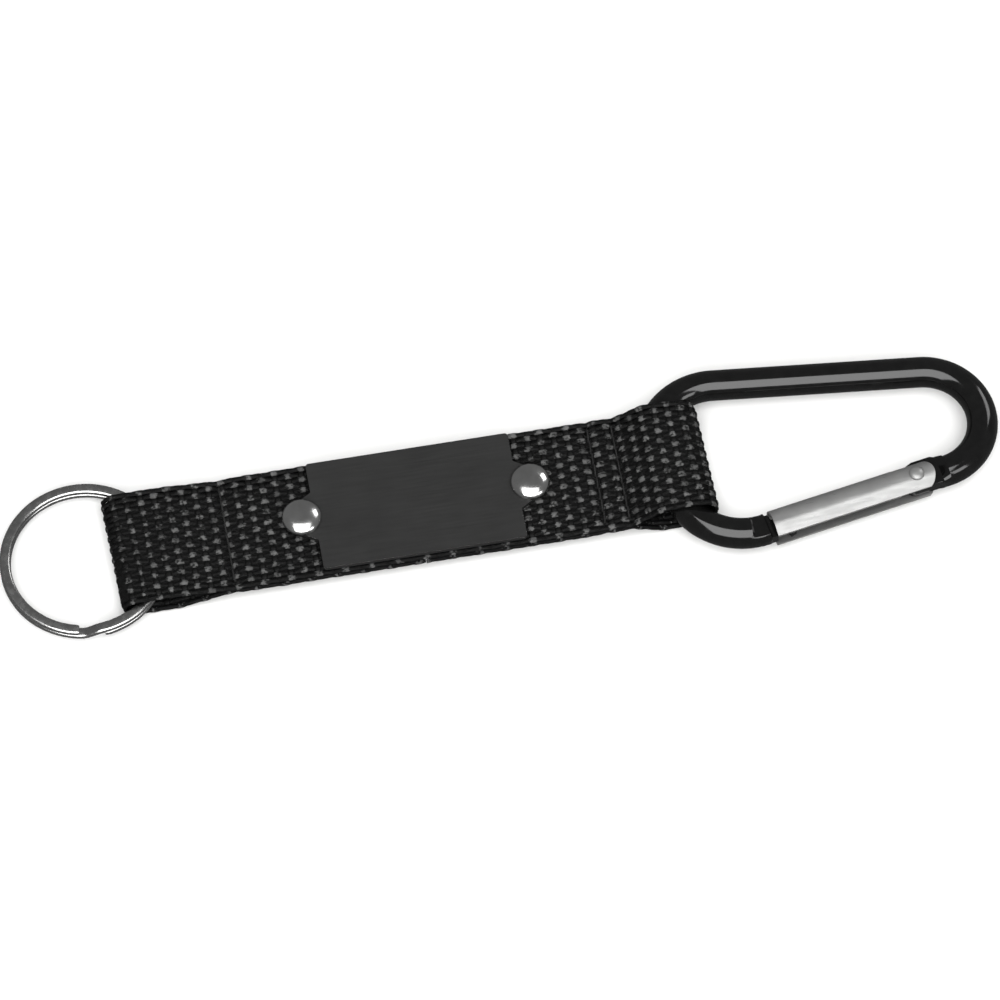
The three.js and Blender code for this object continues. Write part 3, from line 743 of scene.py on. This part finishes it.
def rivet_pieces():
    for end, side in (("ring", -1), ("carabiner", 1)):
        centre = (side * RIVET_X, 0, 0)
        head = [*RIVET_HEAD, *dome(RIVET_HEAD_R, *RIVET_DOME)]
        for part, shape, profile in (("head", "domed", head), ("back", "cap", RIVET_BACK)):
            node_name = f"rivet_{end}_side_{part}"
            points, faces = turned(profile, centre)
            piece = mesh_piece(f"{node_name}_{shape}", points, faces, NICKEL)
            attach(piece, "strap")
            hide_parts(node_name)


# ---- Split ring ----

def rounded_section(half_width, half_height, corner, steps=5):
    """A rectangle with round corners, as points in two directions."""
    points = []
    for centre_x, centre_y, start in ((1, 1, 0), (-1, 1, 90), (-1, -1, 180), (1, -1, 270)):
        for turn in np.radians(np.linspace(start, start + 90, steps)):
            points.append((centre_x * (half_width - corner) + corner * math.cos(turn),
                           centre_y * (half_height - corner) + corner * math.sin(turn)))
    return np.array(points)


def split_ring():
    start = RING_RAMP / 2 + RING_END_GAP
    wound = np.linspace(start, 4 * math.pi - start, RING_STEPS)
    share = np.clip((wound - 2 * math.pi + RING_RAMP / 2) / RING_RAMP, 0, 1)
    climbed = share * share * (3 - 2 * share)
    angle = RING_RAMP_AT + wound
    rise = (climbed - 0.5) * RING_RISE
    section = rounded_section(RING_BAND / 2, RING_COIL / 2, RING_CORNER)
    size = np.ones(RING_STEPS)
    size[[0, -1]] = RING_END_TAPER[0]
    size[[1, -2]] = RING_END_TAPER[1]
    out = np.column_stack([np.cos(angle), np.sin(angle), np.zeros_like(angle)])
    centre = np.array(RING_CENTRE) + out * RING_MIDDLE_R
    centre[:, 2] += rise
    wide = section[None, :, 0, None] * size[:, None, None]
    high = section[None, :, 1, None] * size[:, None, None] * np.array([0, 0, 1])
    points, faces = tube(centre[:, None, :] + out[:, None, :] * wide + high)
    piece = mesh_piece("split_ring_coils", points, faces, RING_STEEL)
    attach(piece, "key_ring")
    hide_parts("split_ring")


# ---- Carabiner ----

spine_along = np.array((math.cos(SPINE_SLOPE), -math.sin(SPINE_SLOPE)))
spine_out = np.array((math.sin(SPINE_SLOPE), math.cos(SPINE_SLOPE)))
gate_along = np.array((math.cos(GATE_SLOPE), math.sin(GATE_SLOPE)))
gate_out = np.array((math.sin(GATE_SLOPE), -math.cos(GATE_SLOPE)))
pivot = BOW + gate_out * BOW_R - gate_along * PIVOT_FROM_BOW

# Bar ends, drawn round the pivot with the gate along X and the inside at +Y:
# place along the gate, half height, lowest and highest Y of the flattened bar
HINGE_END = [(5.25, 2.5, -2.5, 2.5), (4.1, 1.2, -2.3, 2.6), (3.9, 1.2, -2.3, 2.6), (3.4, 1.2, -2.1, 2.9),
             (1.8, 1.2, -2.1, 2.9), (0.2, 1.2, -2.1, 2.9), (-0.8, 1.2, -2.1, 2.5), (-1.4, 1.2, -1.7, 2.1),
             (-1.9, 1.15, -1.2, 1.6), (-2.0, 1.0, -1.0, 1.4)]
NOSE_END = [(-21.2, 0.85, -1.8, 0.8), (-21.3, 1.0, -1.95, 0.9), (-22.2, 1.0, -2.2, 0.9),
            (-22.6, 1.0, -1.2, 0.9), (-24.1, 1.0, -1.2, 0.9), (-24.5, 1.0, -2.2, 0.9),
            (-24.75, 1.0, -2.2, 0.95), (-25.0, 1.0, -2.2, 1.9), (-25.45, 1.0, -2.2, 1.9),
            (-25.75, 1.7, -2.4, 2.4)]


def from_gate(points):
    """Points drawn round the gate's pivot, at their place in the strap's frame."""
    points = np.asarray(points, float)
    x, y = points[..., 0], points[..., 1]
    return np.stack([
        pivot[0] + x * gate_along[0] - y * gate_out[0],
        pivot[1] + x * gate_along[1] - y * gate_out[1],
        points[..., 2] + CARABINER_Z,
    ], axis=-1)


def flattened_section(half_height, low, high):
    """The round bar's section where it is flattened, as (inwards, up)."""
    turn = np.linspace(0, 2 * math.pi, BAR_SIDES, endpoint=False)
    reach = max(BAR_R, high + 0.2)
    return np.column_stack([
        np.clip(np.where(np.cos(turn) > 0, reach, BAR_R) * np.cos(turn), low, high),
        np.clip(BAR_R * np.sin(turn), -half_height, half_height),
    ])


def bar_end(stations):
    rings = []
    for x, half_height, low, high in stations:
        section = flattened_section(half_height, low, high)
        ring = np.column_stack([np.full(BAR_SIDES, x), section])
        rings.append(from_gate(ring))
    return rings


def arc(centre, radius, start, end, steps):
    """Middle points and outward directions of an arc, between two angles."""
    turn = np.linspace(start, end, steps)
    out = np.column_stack([np.cos(turn), np.sin(turn)])
    return [(centre + o * radius, o) for o in out]


def bar_rings():
    """Cross-sections of the bar from the nose round the wide end, along the spine and round the bow."""
    spine_corner = BOW - spine_along * SPINE_LENGTH + spine_out * (BOW_R - END_R)
    gate_corner = BOW - gate_along * GATE_SIDE_LENGTH + gate_out * (BOW_R - END_R)
    end_way = spine_corner - gate_corner
    gate_turn = math.atan2(gate_out[1], gate_out[0])
    spine_turn = math.atan2(spine_out[1], spine_out[0])
    end_turn = math.atan2(end_way[0], -end_way[1]) % (2 * math.pi)
    middle = arc(gate_corner, END_R, gate_turn, end_turn - 2 * math.pi, CORNER_STEPS)
    middle += arc(spine_corner, END_R, end_turn, spine_turn, CORNER_STEPS)
    middle += arc(BOW, BOW_R, spine_turn, gate_turn, BOW_STEPS)
    turn = np.linspace(0, 2 * math.pi, BAR_SIDES, endpoint=False)
    rings = []
    for point, out in middle:
        inwards = -out
        ring = np.column_stack([
            point[0] + inwards[0] * BAR_R * np.cos(turn),
            point[1] + inwards[1] * BAR_R * np.cos(turn),
            CARABINER_Z + BAR_R * np.sin(turn),
        ])
        rings.append(ring)
    for ring in rings[:NOSE_FLAT_RINGS]:
        ring[:, 2] = np.clip(ring[:, 2], CARABINER_Z - NOSE_FLAT_HALF, CARABINER_Z + NOSE_FLAT_HALF)
    return rings


def carabiner_bar():
    rings = bar_end(NOSE_END) + bar_rings() + bar_end(HINGE_END)
    points, faces = tube(np.array(rings))
    piece = mesh_piece("carabiner_bar", points, faces, BLACK, math.radians(30))
    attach(piece, "carabiner")
    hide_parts("carabiner_body")


def channel_profile():
    """Section of the gate: a round back and two flanges that lean together towards the open side."""
    def side_line(radius):
        turn = np.linspace(math.pi / 2 + FLANGE_TILT, -math.pi / 2 - FLANGE_TILT, 49)
        arc_points = np.column_stack([radius * np.cos(turn), radius * np.sin(turn)])
        edge_z = (radius - FLANGE_EDGE * math.sin(FLANGE_TILT)) / math.cos(FLANGE_TILT)
        return np.vstack([[-FLANGE_EDGE, edge_z], arc_points, [-FLANGE_EDGE, -edge_z]])
    outer = side_line(GATE_R)
    inner = side_line(GATE_R - GATE_WALL)
    return np.vstack([outer, inner[::-1]])


def box_piece(name, x, y, z):
    corners = np.array([(i, j, k) for k in z for j in y for i in x], float)
    faces = [[0, 2, 3, 1], [4, 5, 7, 6], [0, 1, 5, 4], [2, 6, 7, 3], [0, 4, 6, 2], [1, 3, 7, 5]]
    return mesh_piece(name, from_gate(corners), faces, ALUMINIUM)


def heel_piece(name):
    """What the gate is kept within: its length, with a round heel at the hinge."""
    turn = np.radians(np.linspace(90, -90, 40))
    heel_x, heel_y = HEEL_CENTRE
    far_end = -GATE_FREE - CUTTER_PAST_END
    outline = [(far_end, CUTTER_REACH), (heel_x, CUTTER_REACH)]
    outline += [(heel_x + HEEL_R * math.cos(t), heel_y + HEEL_R * math.sin(t)) for t in turn]
    outline += [(heel_x, -CUTTER_REACH), (far_end, -CUTTER_REACH)]
    count = len(outline)
    low = [(x, y, -CUTTER_REACH) for x, y in outline]
    high = [(x, y, CUTTER_REACH) for x, y in outline]
    faces = [list(range(count)), [count + i for i in range(count)][::-1]]
    faces += [[i, i + count, (i + 1) % count + count, (i + 1) % count] for i in range(count)]
    return mesh_piece(name, from_gate(np.array(low + high)), faces, ALUMINIUM)


def cut(piece, cutter, how):
    """Applies a boolean with a helper piece, and removes the helper."""
    made = piece.modifiers.new("cut", "BOOLEAN")
    made.operation = how
    made.object = cutter
    made.solver = "EXACT"
    bpy.context.view_layer.update()
    result = bpy.data.meshes.new_from_object(piece.evaluated_get(bpy.context.evaluated_depsgraph_get()))
    piece.modifiers.clear()
    piece.data = result
    bpy.data.objects.remove(cutter)


def gate():
    profile = channel_profile()
    ends = (-GATE_FREE, GATE_HEEL)
    rings = np.stack([np.column_stack([np.full(len(profile), x), profile]) for x in ends])
    points, faces = tube(from_gate(rings))
    piece = mesh_piece("gate_shell", points, faces, ALUMINIUM)
    across = (-CUTTER_REACH, CUTTER_REACH)
    back_cut = box_piece("back_cut", (-BACK_CUT, 5), across, (-BACK_CUT_HALF, BACK_CUT_HALF))
    cut(piece, back_cut, "DIFFERENCE")
    cut(piece, heel_piece("heel"), "INTERSECT")
    piece.data.polygons.foreach_set("use_smooth", np.ones(len(piece.data.polygons), bool))
    piece.data.set_sharp_from_angle(angle=math.radians(30))
    eased = piece.modifiers.new("eased", "BEVEL")
    eased.width = GATE_EASE * MM
    eased.segments = 2
    eased.limit_method = "ANGLE"
    eased.angle_limit = math.radians(40)
    eased.harden_normals = True
    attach(piece, "gate")
    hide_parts("gate_channel")


def hinge_rivet():
    face = GATE_R - HINGE_SINK
    foot_r = HINGE_HEAD_R - 0.05
    above = dome(HINGE_HEAD_R, face + 0.05, HINGE_DOME)
    below = [(r, -z) for r, z in above][::-1]
    profile = [*below, (foot_r, -face), (HINGE_SHANK_R, -face), (HINGE_SHANK_R, face), (foot_r, face), *above]
    points, faces = turned(profile, (0, 0, 0), 48)
    piece = mesh_piece("gate_rivet_domed", from_gate(points), faces, ALUMINIUM)
    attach(piece, "carabiner")
    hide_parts("gate_hinge_rivet")


def dress_gate_insides():
    """The spring and push rod inside the gate, in spring steel. The spring gets a mesh of its own."""
    for name in ("gate_push_rod", "gate_spring"):
        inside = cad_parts[name]
        inside.data.materials.clear()
        inside.data.materials.append(STEEL)
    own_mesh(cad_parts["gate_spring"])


# ---- Floor, lights and camera ----

def build_floor():
    bpy.ops.mesh.primitive_plane_add(size=6, location=(0, 0, -0.0001))
    floor = bpy.context.object
    floor.name = "floor"
    made = material("floor_white", (0.86, 0.86, 0.86), 0.9, 0.0, [("Specular IOR Level", 0.1)])
    place_in = node(made, "ShaderNodeTexCoord").outputs["Object"]
    patches = noise(made, place_in, (1, 1, 1), 3, 2)
    connect(made, "Base Color", shades(made, patches, grey(0.85), grey(0.87)))
    floor.data.materials.append(made)
    floor.visible_glossy = False


def softbox(name, azimuth, height, distance, width, tall, radiance, seen=True):
    """A rectangular light that faces the object. Azimuth is from the camera's side, in degrees."""
    turn = VIEW_TURN + math.radians(azimuth)
    rise = math.radians(height)
    away = Vector((-math.sin(turn) * math.cos(rise), -math.cos(turn) * math.cos(rise), math.sin(rise)))
    data = bpy.data.lights.new(name, "AREA")
    data.shape = "RECTANGLE"
    data.size = width
    data.size_y = tall
    data.energy = radiance * math.pi * width * tall
    light = bpy.data.objects.new(name, data)
    light.location = away * distance
    light.rotation_euler = away.to_track_quat("Z", "Y").to_euler()
    light.visible_glossy = seen
    bpy.context.scene.collection.objects.link(light)


def build_light():
    softbox("key_softbox", 0, 58, 1.5, 1.5, 1.55, 5.0)
    softbox("side_softbox", -133, 35.5, 1.5, 0.5, 0.5, 4.0)
    softbox("right_softbox", -50, 32, 1.5, 0.45, 0.5, 4.5)
    softbox("fill_from_above", 180, 75, 1.6, 2.4, 2.4, 0.7, seen=False)
    world = bpy.data.worlds.new("studio")
    world.use_nodes = True
    back = world.node_tree.nodes["Background"]
    back.inputs["Color"].default_value = (0.15, 0.15, 0.15, 1)
    back.inputs["Strength"].default_value = 1.0
    bpy.context.scene.world = world
    bpy.context.scene.view_settings.view_transform = "Standard"


def build_camera():
    right = Vector((math.cos(VIEW_TURN), -math.sin(VIEW_TURN), 0))
    forward = Vector((math.sin(VIEW_TURN), math.cos(VIEW_TURN), 0))
    back = -forward * math.cos(VIEW_HEIGHT) + Vector((0, 0, math.sin(VIEW_HEIGHT)))
    up = back.cross(right)
    data = bpy.data.cameras.new("camera")
    data.sensor_width = SENSOR
    data.lens = LENS
    data.clip_start = 0.01
    data.clip_end = 20
    camera = bpy.data.objects.new("camera", data)
    turn = Matrix((right, up, back)).transposed().to_4x4()
    camera.matrix_world = Matrix.Translation(Vector(place(LOOK_AT)) + back * VIEW_DISTANCE) @ turn
    bpy.context.scene.collection.objects.link(camera)
    bpy.context.scene.camera = camera


build_camera()
build_floor()
build_light()
build_webbing()
dress_plate()
rivet_pieces()
split_ring()
carabiner_bar()
gate()
hinge_rivet()
dress_gate_insides()
